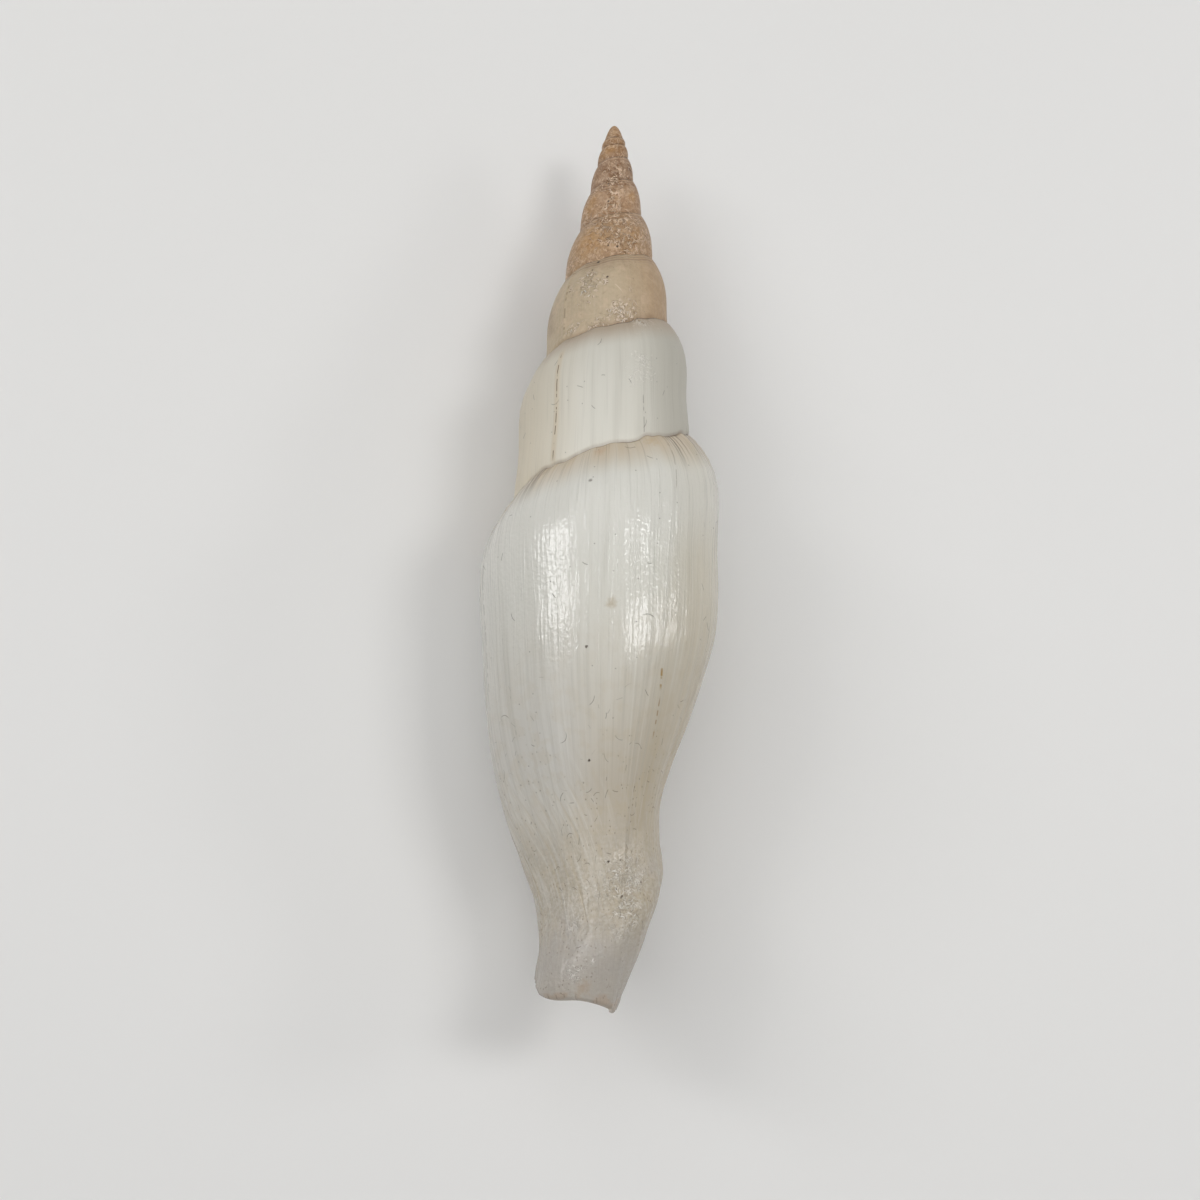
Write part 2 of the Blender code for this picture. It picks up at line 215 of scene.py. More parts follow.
def growthRidges(turn, depth):
    # noise that is short across the growth lines and long along them, fading at the sutures
    size = girthOf(turn)
    below = (depth - sutureDepth(turn)) / size
    above = (sutureDepth(turn + 1) - depth) / size + 9 * easeStep(turn, -1.0, -0.97)
    drift = turn + 0.004 * latticeNoise(turn * 9, depth * 0.12, 11)
    fineCount, broadCount = form["ridgesATurn"]
    fine = latticeNoise(drift * fineCount, depth * 0.05, 12)
    broad = latticeNoise(drift * broadCount, depth * 0.02, 13)
    dents = latticeNoise(turn * 26, depth * 0.42, 14) * np.clip(form["shoulderFrom"] - turn, 0, 1)
    height = form["ridge"] * size * (0.9 * fine + broad + 1.3 * dents) * easeStep(depth, 98, 84)
    uneven = latticeNoise(turn * 17, depth * 0.22, 15) + 0.5 * latticeNoise(turn * 40, depth * 0.5, 16)
    height = height + form["footUneven"] * uneven * easeStep(depth, 82, 94) * easeStep(depth, 110, 104)
    for at, rise, fall, lean in form["scars"]:
        # a step up where growth stopped, which dies away as the shell grows on
        since = turn - at - lean * (below * size - 6)
        height = height + rise * np.exp(np.minimum(since / 0.0012, 0) - np.maximum(since / fall, 0))
    height = height * (1 - np.exp(-(below / 0.03) ** 2)) * (1 - np.exp(-(above / 0.03) ** 2))
    edge = np.exp(-(below * size / 0.25) ** 2) + np.exp(-(above * size / 0.25) ** 2)
    return height - form["sutureGroove"] * edge * np.clip(depth / 30, 0.1, 1)


def outsideRadius(turn, depth):
    # the plain wall plus its ridges
    return outerRadius(turn, depth) + growthRidges(turn, depth)


def columnEnd(turn):
    # an aslant cut: its depth follows the cosine of the angle
    side = np.radians(angleOf(turn) - form["slantAngle"])
    return form["columnEnd"] + form["columnSlant"] * np.cos(side)


def endDepth(turn):
    # lower edge of the wall: the column's end, then the free rim round the notch
    rim = smoothCurve(angleOf(turn), form["rimDepth"])
    return np.where(angleOf(turn) <= form["rimDepth"][0][0], columnEnd(turn), rim)


def hollowEnd(turn):
    # a fixed number of girths below the suture, easing down to the column's end at the notch
    own = sutureDepth(turn) + form["cavityReach"] * girthOf(turn)
    notch = form["notchTurn"]
    return own + (columnEnd(turn) - own) * easeStep(turn, notch - 0.14, notch) ** 2


def place(turn, depth, radius):
    # (r cos a, -depth, r sin a): axis along Y, apex at the origin
    angle = np.radians(angleOf(turn))
    return np.stack([radius * np.cos(angle), -depth + 0 * angle, radius * np.sin(angle)], -1)


def restPose(points):
    # a roll about Y, a pitch about X, then the box's middle over the origin and its base on Z = 0
    roll, pitch = np.radians(form["restRoll"]), np.radians(form["restPitch"])
    x, y, z = points.T
    x, z = x * np.cos(roll) - z * np.sin(roll), x * np.sin(roll) + z * np.cos(roll)
    y, z = y * np.cos(pitch) + z * np.sin(pitch), z * np.cos(pitch) - y * np.sin(pitch)
    points = np.stack([x, y, z], -1)
    low, high = points.min(0), points.max(0)
    return (points - np.array([(low[0] + high[0]) / 2, (low[1] + high[1]) / 2, low[2]])) * 0.001


def turnsBetween(start, end):
    # even steps of one mesh column
    return np.arange(round(start * form["columns"]), round(end * form["columns"]) + 1) / form["columns"]


def closeAtEnds(count):
    # steps from 0 to 1 that are short at both ends: (1 - cos πt) / 2
    return (1 - np.cos(np.linspace(0, np.pi, count + 1))) / 2


def spireGrid():
    # whorls above the last one, each from its own suture to the next
    turn = turnsBetween(-form["turns"], -1)[:, None]
    part = closeAtEnds(form["upperRows"])[None, :]
    depth = sutureDepth(turn) + (sutureDepth(turn + 1) - sutureDepth(turn)) * part
    return turn + 0 * depth, depth


def bodyDepths(turn):
    # down to where the next suture would be, then to the end
    top, end = sutureDepth(turn), endDepth(turn)
    middle = np.minimum(sutureDepth(turn + 1), top + (end - top) * 0.6)
    upper = top + (middle - top) * closeAtEnds(form["upperRows"])[None, :-1]
    lower = middle + (end - middle) * np.linspace(0, 1, form["lowerRows"] + 1)[None, :]
    return np.concatenate([upper, lower], 1)


def hollowGrids(turn):
    # the hollow's two sides: the whorl before with the column, and that plus a gap, which is
    # the outer radius less the wall, closing towards the suture, the notch and the far end
    notch = form["notchTurn"]
    end = np.where(turn >= notch - 1e-9, columnEnd(turn), hollowEnd(turn))
    top = sutureDepth(turn)
    depth = top + (end - top) * np.linspace(0, 1, form["lowerRows"] + 1)[None, 1:]
    columnSide = place(turn - 1 + 0 * depth, depth, outsideRadius(turn - 1, depth))

    rows = bodyDepths(turn)
    share = (rows - rows[:, :1]) / (rows[:, -1:] - rows[:, :1])
    end = np.where(turn <= notch + 1e-9, end, rows[:, -1:])
    wallDepth = depth[:, :1] + (end - depth[:, :1]) * share
    inner = outsideRadius(turn - 1, wallDepth)
    below = (wallDepth - sutureDepth(turn)) / girthOf(turn)
    wall = form["wall"] * np.minimum(1, girthOf(turn) / form["thinGirth"])
    wall = wall * (1 + form["sutureWall"] * np.exp(-below / 0.3))
    gap = np.maximum(outerRadius(turn, wallDepth) - wall - inner, form["leastGap"])
    down = np.linspace(0, 1, wallDepth.shape[1])[None, :]
    gap = gap * np.sqrt(np.minimum(1, down * 12))
    gap = gap * (1 - (1 - easeStep(turn, notch, notch + 0.12)) * down ** 5)
    back = -form["cavityTurns"]
    gap = gap * (0.1 + 0.9 * easeStep(turn, back, back + 0.25))
    wallSide = place(turn + 0 * wallDepth, wallDepth, inner + gap)
    wallSide[:, 0] = columnSide[:, 0]
    closed = turn[:, 0] <= notch + 1e-9
    wallSide[closed, -1] = columnSide[closed, -1]
    return depth, columnSide, wallDepth, wallSide


class Sheets:
    # collects grids and fans of points, their growth coordinates and their faces
    def __init__(self):
        self.points, self.growth, self.inside, self.faces, self.count = [], [], [], [], 0

    def store(self, points, growth, inside):
        # adds points, gives the number of the first
        start = self.count
        points = np.asarray(points, float).reshape(-1, 3)
        self.points.append(points)
        self.growth.append(np.broadcast_to(growth, points.shape[:1] + (3,)).reshape(-1, 3))
        self.inside.append(np.broadcast_to(inside, points.shape[:1]))
        self.count += len(points)
        return start

    def grid(self, points, growth, inside=0.0, turned=False):
        # four neighbours make a face
        rows, columns = points.shape[:2]
        inside = np.broadcast_to(inside, (rows, columns)).ravel()
        start = self.store(points, growth.reshape(-1, 3), inside)
        index = np.arange(rows * columns).reshape(rows, columns) + start
        quads = np.stack([index[:-1, :-1], index[1:, :-1], index[1:, 1:], index[:-1, 1:]], -1)
        quads = quads.reshape(-1, 4)
        self.faces += (quads[:, ::-1] if turned else quads).tolist()

    def fan(self, loop, middle, growth, inside=0.0, turned=False):
        # each side of a closed loop makes a triangle with its middle
        start = self.store(np.vstack([loop, middle]), growth, inside)
        index = np.arange(len(loop))
        after = (index + 1) % len(loop)
        triangles = np.stack([index, after, np.full(len(loop), len(loop))], -1) + start
        self.faces += (triangles[:, ::-1] if turned else triangles).tolist()


def growthOf(turn, depth):
    # turn, depth below the suture, depth below the apex
    return np.stack([turn + 0 * depth, depth - sutureDepth(turn), depth + 0 * turn], -1)


def roundedEdge(outside, inside, outwards, rows):
    # half an ellipse from one edge to the other: the straight blend plus outwards·sin, no
    # taller than the edge is thick
    part = np.linspace(0, np.pi, rows + 1)[None, :, None]
    blend = (1 - np.cos(part)) / 2
    thick = np.linalg.norm(outside - inside, axis=1)[:, None, None]
    outwards = outwards * np.minimum(1, form["edgeBulge"] * thick / form["lipRound"])
    return outside[:, None] * (1 - blend) + inside[:, None] * blend + outwards * np.sin(part)


def shellSheets():
    # all the grids, with shared edges: outside, hollow, lip and rim, and the three closed ends
    sheets = Sheets()
    columns, notch, cavity = form["columns"], form["notchTurn"], form["cavityTurns"]
    spireTurn, spireDepth = spireGrid()
    spire = place(spireTurn, spireDepth, outsideRadius(spireTurn, spireDepth))
    bodyTurn = turnsBetween(-1, 0)[:, None]
    bodyDepth = bodyDepths(bodyTurn)
    body = place(bodyTurn + 0 * bodyDepth, bodyDepth, outsideRadius(bodyTurn, bodyDepth))

    deepTurns = np.linspace(-cavity, notch, form["hollowColumns"] + 1)[:-1]
    hollowTurn = np.concatenate([deepTurns, turnsBetween(notch, 0)])[:, None]
    columnDepth, columnSide, wallDepth, wallSide = hollowGrids(hollowTurn)
    root, hollowRoot = round((1 + notch) * columns), form["hollowColumns"]
    body[root, -1] = columnSide[hollowRoot, -1]

    lipWay = np.radians(form["lipAngle"] + 90)
    outwards = np.array([np.cos(lipWay), 0, np.sin(lipWay)]) * form["lipRound"]
    rise = easeStep(np.arange(body.shape[1]), 0, 4)[:, None, None]
    lip = roundedEdge(body[-1], wallSide[-1], outwards * rise, form["lipRows"])
    lip[0, :-1] = body[-1, 0]
    down = np.array([0, -1, 0]) * form["lipRound"]
    rim = roundedEdge(body[root:, -1], wallSide[hollowRoot:, -1], down, form["lipRows"])
    rim[-1] = lip[-1]

    inward = np.linspace(0, 1, form["lipRows"] + 1)
    lipGrowth = growthOf(0 * bodyDepth[-1][:, None] + 0 * inward, bodyDepth[-1][:, None] + 0 * inward)
    rimTurn, rimDepth = bodyTurn[root:], bodyDepth[root:, -1:]
    rimGrowth = growthOf(rimTurn + 0 * inward, rimDepth + 0 * inward)
    sheets.grid(spire, growthOf(spireTurn, spireDepth))
    sheets.grid(body, growthOf(bodyTurn, bodyDepth))
    sheets.grid(columnSide, growthOf(hollowTurn - 1, columnDepth), easeStep(hollowTurn, 0, -0.03))
    sheets.grid(wallSide, growthOf(hollowTurn, wallDepth), 1.0, turned=True)
    sheets.grid(lip, lipGrowth, np.broadcast_to(inward, lip.shape[:2]), turned=True)
    sheets.grid(rim, rimGrowth, np.broadcast_to(inward, rim.shape[:2]))

    apexLoop = np.vstack([spire[:columns + 1, 0], spire[0, -2:0:-1]])
    apex = np.array([0, -form["apexDepth"], 0])
    addDome(sheets, apexLoop, apex, (-form["turns"], 1, 0), turned=True)
    loop = np.vstack([body[:root, -1], columnSide[hollowRoot:-1, -1]])
    tip = loop.mean(0) + (0, -form["tipRise"], 0)
    addDome(sheets, loop, tip, (-1, 60, 110))
    hollowLoop = np.vstack([wallSide[0], columnSide[0, -2:0:-1]])
    sheets.fan(hollowLoop, hollowLoop.mean(0), (-1, 20, 60), 1.0, turned=True)
    return sheets


def addDome(sheets, loop, top, growth, turned=False):
    # rings from a loop to a point: what is left of the height is the width squared
    width = 1 - np.linspace(0, 1, form["domeRings"] + 1)[:-1, None]
    left = width ** 2
    x, y, z = [loop[None, :, i] for i in range(3)]
    rings = np.stack([top[0] + (x - top[0]) * width,
                      top[1] + (y - top[1]) * left,
                      top[2] + (z - top[2]) * width], -1)
    rings = np.concatenate([rings, rings[:, :1]], 1)
    sheets.grid(rings, np.zeros(rings.shape) + growth, turned=not turned)
    sheets.fan(rings[-1, :-1], top, growth, turned=turned)


def makeShell():
    # one closed mesh that carries its growth coordinates for the material
    sheets = shellSheets()
    points = restPose(np.vstack(sheets.points))
    mesh = bpy.data.meshes.new("miterShell")
    mesh.from_pydata(points.tolist(), [], sheets.faces)
    corner = np.empty(len(mesh.loops), np.int32)
    mesh.loops.foreach_get("vertex_index", corner)
    values = np.vstack(sheets.growth)
    growth = mesh.attributes.new("growth", "FLOAT_VECTOR", "CORNER")
    growth.data.foreach_set("vector", values[corner].astype(np.float32).ravel())
    # height above the suture of the next whorl; the last whorl has none under it
    turn, depth = values[:, 0], values[:, 2]
    toNext = np.where(turn < -1.001, sutureDepth(np.minimum(turn, -1) + 1) - depth, 99)
    above = mesh.attributes.new("above", "FLOAT", "CORNER")
    above.data.foreach_set("value", toNext[corner].astype(np.float32))
    inside = mesh.attributes.new("inside", "FLOAT", "CORNER")
    inside.data.foreach_set("value", np.concatenate(sheets.inside)[corner].astype(np.float32))
    joined = bmesh.new()
    joined.from_mesh(mesh)
    bmesh.ops.remove_doubles(joined, verts=joined.verts, dist=form["joinWithin"])
    bmesh.ops.recalc_face_normals(joined, faces=joined.faces)
    openEdges = sum(not edge.is_manifold for edge in joined.edges)
    print(f"shell: {len(joined.verts)} points, {len(joined.faces)} faces, {openEdges} open edges")
    joined.to_mesh(mesh)
    joined.free()
    mesh.shade_smooth()
    mesh.set_sharp_from_angle(angle=np.radians(form["sharpAngle"]))
    shell = bpy.data.objects.new("miterShell", mesh)
    bpy.context.scene.collection.objects.link(shell)
    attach(shell, "root")
    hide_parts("shell")
    return shell


class Wire:
    # an output socket that takes part in sums: each operator adds its Math node
    def __init__(self, paint, socket):
        self.paint, self.socket = paint, socket

    def maths(self, operation, *values):
        return self.paint.node("ShaderNodeMath", {"operation": operation}, dict(enumerate(values)))

    def __add__(self, other):
        return self.maths("ADD", self, other)

    def __radd__(self, other):
        return self.maths("ADD", other, self)

    def __sub__(self, other):
        return self.maths("SUBTRACT", self, other)

    def __rsub__(self, other):
        return self.maths("SUBTRACT", other, self)

    def __mul__(self, other):
        return self.maths("MULTIPLY", self, other)

    def __rmul__(self, other):
        return self.maths("MULTIPLY", other, self)

    def __truediv__(self, other):
        return self.maths("DIVIDE", self, other)

    def __pow__(self, other):
        return self.maths("POWER", self, other)

    def larger(self, other):
        return self.maths("MAXIMUM", self, other)

    def smaller(self, other):
        return self.maths("MINIMUM", self, other)

    def ramp(self, low, high, soft=True):
        # 0 at low, 1 at high; low may be the larger one
        settings = {"interpolation_type": "SMOOTHSTEP" if soft else "LINEAR"}
        if low < high:
            values = {"Value": self, "From Min": low, "From Max": high, "To Min": 0.0, "To Max": 1.0}
        else:
            values = {"Value": self, "From Min": high, "From Max": low, "To Min": 1.0, "To Max": 0.0}
        return self.paint.node("ShaderNodeMapRange", settings, values)


class Paint:
    # one material and its nodes
    def __init__(self, name):
        self.material = bpy.data.materials.new(name)
        self.material.use_nodes = True
        self.tree = self.material.node_tree
        self.shader = self.tree.nodes["Principled BSDF"]

    def node(self, kind, settings=None, values=None, output=0):
        # any node: its settings first, then its sockets' values or links
        made = self.tree.nodes.new(kind)
        for name, value in (settings or {}).items():
            if name == "stops":
                self.setStops(made.color_ramp, value)
            else:
                setattr(made, name, value)
        for name, value in (values or {}).items():
            self.feed(made.inputs[name], value)
        return Wire(self, made.outputs[output])

    def feed(self, socket, value):
        # a wire is linked, a plain value is set
        if isinstance(value, Wire):
            self.tree.links.new(value.socket, socket)
        else:
            socket.default_value = value

    def setStops(self, ramp, stops):
        # places from 0 to 1 with their colours
        while len(ramp.elements) < len(stops):
            ramp.elements.new(1.0)
        for element, (place, colour) in zip(ramp.elements, stops):
            element.position = place
            element.color = colour

    def mix(self, amount, low, high):
        # the first colour where the amount is 0, the second where it is 1
        settings = {"data_type": "RGBA", "clamp_factor": True}
        return self.node("ShaderNodeMix", settings, {0: amount, 6: low, 7: high}, output=2)

    def vector(self, x, y):
        # a place on the unrolled surface
        return self.node("ShaderNodeCombineXYZ", None, {0: x, 1: y})

    def parts(self, vector):
        # its x, y and z
        split = self.node("ShaderNodeSeparateXYZ", None, {0: vector}).socket.node
        return [Wire(self, socket) for socket in split.outputs]

    def scatter(self, vector, spacing):
        # distance to the nearest scattered point in spacings, its random numbers and its place
        settings = {"voronoi_dimensions": "2D", "feature": "F1"}
        cells = self.node("ShaderNodeTexVoronoi", settings, {"Vector": vector, "Scale": 1 / spacing})
        return [Wire(self, socket) for socket in list(cells.socket.node.outputs)[:3]]

    def noise(self, vector, scale, detail, rough=0.5, distort=0.0):
        # soft noise about 0.5, with so many lumps a unit and octaves over the first one
        values = {"Vector": vector, "Scale": scale, "Detail": detail, "Roughness": rough,
                  "Distortion": distort}
        return self.node("ShaderNodeTexNoise", {"noise_dimensions": "3D"}, values)

    def cells(self, vector, scale):
        # distance to the nearest of scattered points
        values = {"Vector": vector, "Scale": scale}
        return self.node("ShaderNodeTexVoronoi", {"feature": "F1"}, values)


def srgb(red, green, blue):
    # 0 to 255 screen values as linear light
    value = np.array([red, green, blue]) / 255
    linear = np.where(value <= 0.04045, value / 12.92, ((value + 0.055) / 1.055) ** 2.4)
    return (*linear.tolist(), 1.0)


# colours as seen on screen, places in turns and millimetres below the suture
finish = {
    # along the growth, turn against colour
    "growthColours": ((-8.0, (166, 128, 86)), (-7.3, (166, 126, 80)), (-6.5, (160, 120, 76)),
                      (-5.9, (156, 118, 80)), (-5.3, (152, 117, 85)), (-4.9, (166, 128, 92)),
                      (-4.4, (171, 134, 98)), (-3.6, (170, 134, 97)), (-3.3, (177, 143, 105)),
                      (-2.75, (174, 142, 106)), (-2.5, (180, 153, 121)), (-2.38, (188, 170, 142)),
                      (-2.28, (185, 167, 139)), (-2.0, (192, 178, 154)), (-1.7, (202, 196, 182)),
                      (-1.35, (217, 214, 203)), (-1.15, (229, 219, 200)), (-0.9, (214, 212, 201)),
                      (-0.35, (214, 212, 202)), (0.0, (220, 219, 214))),
    "millimetresATurn": 75,     # roughly, for scattered marks
    # lumps a millimetre and octaves, from the coarsest noise to the finest
    "noises": {"mottle": (0.11, 3), "blotch": (0.6, 3), "grain": (2.3, 2), "speck": (5.5, 1)},
    # growth lines: how many a turn, how many a millimetre down the shell, and octaves
    "growthLines": {"streak": (40, 0.03, 3), "stria": (150, 0.045, 2), "hairline": (400, 0.09, 1),
                    "ripple": (170, 0.25, 1), "raised": (60, 0.025, 1), "peel": (210, 1.9, 1),
                    "broken": (3, 0.9, 2)},
    "leanOfLines": 0.5,         # how far the foot's growth lines lean
    "gloss": {"roughness": 0.255, "glaze": 0.105, "dull": 0.24, "uneven": 0.1, "mouth": 0.03},
    # heights in millimetres
    "relief": {"lines": 0.03, "shoulderLines": 0.12, "glazeLines": 0.035, "hairlines": 0.008,
               "ripple": 0.07, "raisedLines": 0.02, "peel": 0.004, "glazePeel": 0.042,
               "wornLumps": 0.3, "wornSpire": 0.12, "spireLumps": 0.1, "footLumps": 0.1,
               "wormMarks": 0.035, "pocks": 0.06, "aslantLines": 0.09, "glints": 0.05,
               "grooves": 0.04, "scratches": 0.015, "freckles": 0.02},
    "orange": (178, 134, 80),
    "worn": (226, 198, 170),
    "brownAndShade": (122, 88, 62),
    "grimeAndShade": (70, 54, 42),
    "paintedGlint": (250, 246, 238),
    "paleGlazeAndLight": (222, 220, 212),
    "greyStreakAndShade": (176, 172, 160),
    "warmStreakAndShade": (196, 182, 154),
    "blushAndShade": (197, 180, 155),
    "paintedSutureShade": (178, 163, 144),
    "coolLower": (206, 205, 201),
    "beigeLower": (184, 168, 138),
    "lower": (188, 178, 161),
    "foot": (177, 167, 151),
    "lilac": (178, 172, 168),
    "footEnd": (176, 169, 160),
    "scratch": (112, 106, 96),
    "mouth": (226, 208, 186),
    "deepMouth": (204, 172, 140),
    "warmRim": (170, 138, 104),
    # turn, depth below the suture, radius, how strongly it shows, how deep it is
    "pits": ((-0.3489, 5.20, 0.30, 0.6, 0.02), (-0.3465, 24.74, 0.22, 0.8, 0.08),
             (-0.3856, 48.50, 0.17, 1.0, 0.12), (-0.4180, 48.60, 0.13, 0.8, 0.08),
             (-0.4071, 51.70, 0.12, 0.8, 0.08), (-0.4200, 52.80, 0.22, 0.7, 0.08),
             (-0.4793, 52.26, 0.18, 0.6, 0.06), (-0.3458, 37.04, 0.20, 0.9, 0.08),
             (-3.3581, 4.85, 0.16, 0.9, 0.08), (-3.3910, 5.12, 0.20, 0.9, 0.08),
             (-2.3263, 0.45, 0.26, 1.0, 0.10), (-2.3133, 1.66, 0.16, 0.9, 0.08),
             (-2.3607, 3.35, 0.22, 0.9, 0.08), (-4.3405, 0.56, 0.16, 0.9, 0.06),
             (-4.3480, 3.30, 0.20, 0.9, 0.06)),
    # turn, depth below the suture, radius, how strongly it shows, colour
    "stains": ((-0.3792, 20.36, 0.95, 0.55, (170, 152, 120)), (-0.4475, 0.9, 1.3, 0.5, (188, 160, 116)),
               (-0.3590, 1.0, 1.0, 0.35, (188, 150, 120)), (-0.3248, 61.3, 1.2, 0.35, (168, 140, 104))),
    # from a turn and depth below the suture to another, half width, strength, colour
    "lines": ((-1.2705, 2.0, -1.2690, 17.2, 0.55, 0.30, (196, 172, 132)),
              (-1.2705, 2.6, -1.2690, 16.8, 0.09, 0.85, (92, 66, 40)),
              (-1.4390, 10.0, -1.4390, 16.2, 0.10, 0.5, (112, 104, 94)),
              (-0.4575, 28.0, -0.4620, 31.2, 0.22, 0.9, (152, 122, 66)),
              (-0.4630, 31.5, -0.4640, 36.5, 0.13, 0.7, (146, 116, 82)),
              (-0.4800, 0.6, -0.4690, 8.0, 0.09, 0.5, (130, 116, 98)),
              (-0.1610, 3.0, -0.1640, 26.0, 0.12, 0.4, (112, 102, 88)),
              (-2.2420, 2.0, -2.2400, 9.5, 0.12, 0.5, (112, 94, 72)),
              (-2.3610, 3.4, -2.4065, 5.9, 0.09, 0.8, (212, 194, 168))),
    "wideLine": 0.3,            # wider lines than this are whole
    # turn, depth below the suture, radius
    "orangePatches": ((-3.285, 3.4, 2.8), (-4.265, 2.1, 1.6), (-4.215, 3.4, 1.6), (-3.47, 3.6, 1.6),
                      (-4.48, 2.6, 1.2), (-6.3, 1.0, 1.4), (-5.85, 1.2, 1.2)),
    # turn, depth below the suture, radius, how rough it is
    "roughPatches": ((-5.40, 3.0, 2.4, 1.0), (-4.37, 1.4, 2.4, 1.0), (-4.36, 3.8, 1.8, 0.9),
                     (-3.36, 2.2, 2.6, 0.9), (-3.42, 4.6, 2.2, 0.8), (-2.309, 3.6, 2.5, 0.85),
                     (-2.27, 9.2, 1.8, 0.6), (-2.40, 8.6, 3.4, 0.6), (-2.33, 9.4, 2.0, 0.5),
                     (-1.457, 0.4, 2.6, 0.5), (-1.43, 7.2, 3.0, 0.5), (-0.43, 51.0, 4.4, 0.75),
                     (-0.436, 55.5, 3.2, 0.6), (-0.30, 54.3, 1.3, 0.5), (-0.318, 59.3, 1.8, 0.7)),
}


def radiusAt(turn, below):
    # the wall's radius at one place
    return float(outerRadius(np.array(turn), sutureDepth(np.array(turn)) + below))


def spotMask(turn, below, atTurn, atBelow, radius, soft=0.7, waver=0.0):
    # 1 in the middle of a round spot on the surface, 0 beyond its radius
    across = (turn - atTurn) * (2 * np.pi * radiusAt(atTurn, atBelow))
    along = below - atBelow
    distance = (across * across + along * along) ** 0.5 + waver
    return distance.ramp(radius, radius * (1 - soft))


def lineMask(turn, below, fromTurn, start, toTurn, end, width):
    # 1 on a straight line between two places: the distance across it and along it, each ramped
    around = 2 * np.pi * radiusAt(fromTurn, (start + end) / 2)
    run, fall = (toTurn - fromTurn) * around, end - start
    length = np.hypot(run, fall)
    x, y = (turn - fromTurn) * around, below - start
    across = (x * fall - y * run) / length
    along = (x * run + y * fall) / length
    across = across.maths("ABSOLUTE", across)
    return across.ramp(width, width * 0.2) * along.ramp(0, 1) * along.ramp(length, length - 1)


def contour(noise, level, width):
    # 1 where a noise is at a level, 0 a width away from it
    off = noise - level
    return off.maths("ABSOLUTE", off).ramp(width, width * 0.3)


def wave(wire, step):
    # cosine of a distance, from 0 to 1, one crest a step
    angle = wire * (2 * np.pi / step)
    return angle.maths("COSINE", angle) * 0.5 + 0.5


def strokes(paint, turn, depth, spacing, length, width, share):
    # short bent scratches, one by each scattered point: |across + bend·along²| under the width
    # where |along| is under the length; a random number leaves some of them out
    across, along = turn * finish["millimetresATurn"], depth
    place = paint.vector(across, along)
    _, chance, centre = paint.scatter(place, spacing)
    spin, bend, shown = paint.parts(chance)
    centreX, centreY, _ = paint.parts(centre)
    x, y = across - centreX, along - centreY
    spin = spin * (2 * np.pi)
    cosine, sine = spin.maths("COSINE", spin), spin.maths("SINE", spin)
    reach = x * cosine + y * sine
    off = y * cosine - x * sine + (bend - 0.5) * 1.6 * reach * reach
    thin = off.maths("ABSOLUTE", off).ramp(width, width * 0.3)
    long = (reach.maths("ABSOLUTE", reach) / (bend + 0.5)).ramp(length, length * 0.6)
    return thin * long * shown.ramp(1 - share, 1 - share + 0.02)


def dots(paint, turn, depth, spacing, radius, share):
    # round specks round scattered points, some of them left out
    place = paint.vector(turn * finish["millimetresATurn"], depth)
    distance, chance, _ = paint.scatter(place, spacing)
    distance, shown = distance * spacing, paint.parts(chance)[0]
    return distance.ramp(radius, radius * 0.3) * shown.ramp(1 - share, 1 - share + 0.02)


def wornPatches(turn, below, mottle, ragged):
    # round patches with a ragged edge, over an even wear of the spire; 1 is the roughest
    rough = turn.ramp(-2.95, -3.1) * mottle.ramp(0.4, 0.62) * 0.4
    for atTurn, atBelow, radius, strength in finish["roughPatches"]:
        rough = spotMask(turn, below, atTurn, atBelow, radius, 0.9, ragged) * strength + rough
    return rough.smaller(1.0)


def singleMarks(paint, colour, turn, below, gaps, grain, speck):
    # lines, stains and pits over a colour; gives the new colour and how deep the pits are.
    # Thin lines are broken where the noise of gaps is low
    broken = gaps.ramp(0.42, 0.5)
    for *places, width, strength, tint in finish["lines"]:
        mark = lineMask(turn, below, *places, width) * (1 if width > finish["wideLine"] else broken)
        colour = paint.mix(mark * strength, colour, srgb(*tint))
    for atTurn, atBelow, radius, strength, tint in finish["stains"]:
        mark = spotMask(turn, below, atTurn, atBelow, radius, 1.0, (grain - 0.5) * radius)
        colour = paint.mix(mark * strength, colour, srgb(*tint))
    pitDepth = 0.0
    for atTurn, atBelow, radius, strength, deep in finish["pits"]:
        mark = spotMask(turn, below, atTurn, atBelow, radius, 0.7, (speck - 0.5) * 0.2)
        colour = paint.mix(mark * strength, colour, srgb(*finish["grimeAndShade"]))
        pitDepth = mark * deep + pitDepth
    return colour, pitDepth


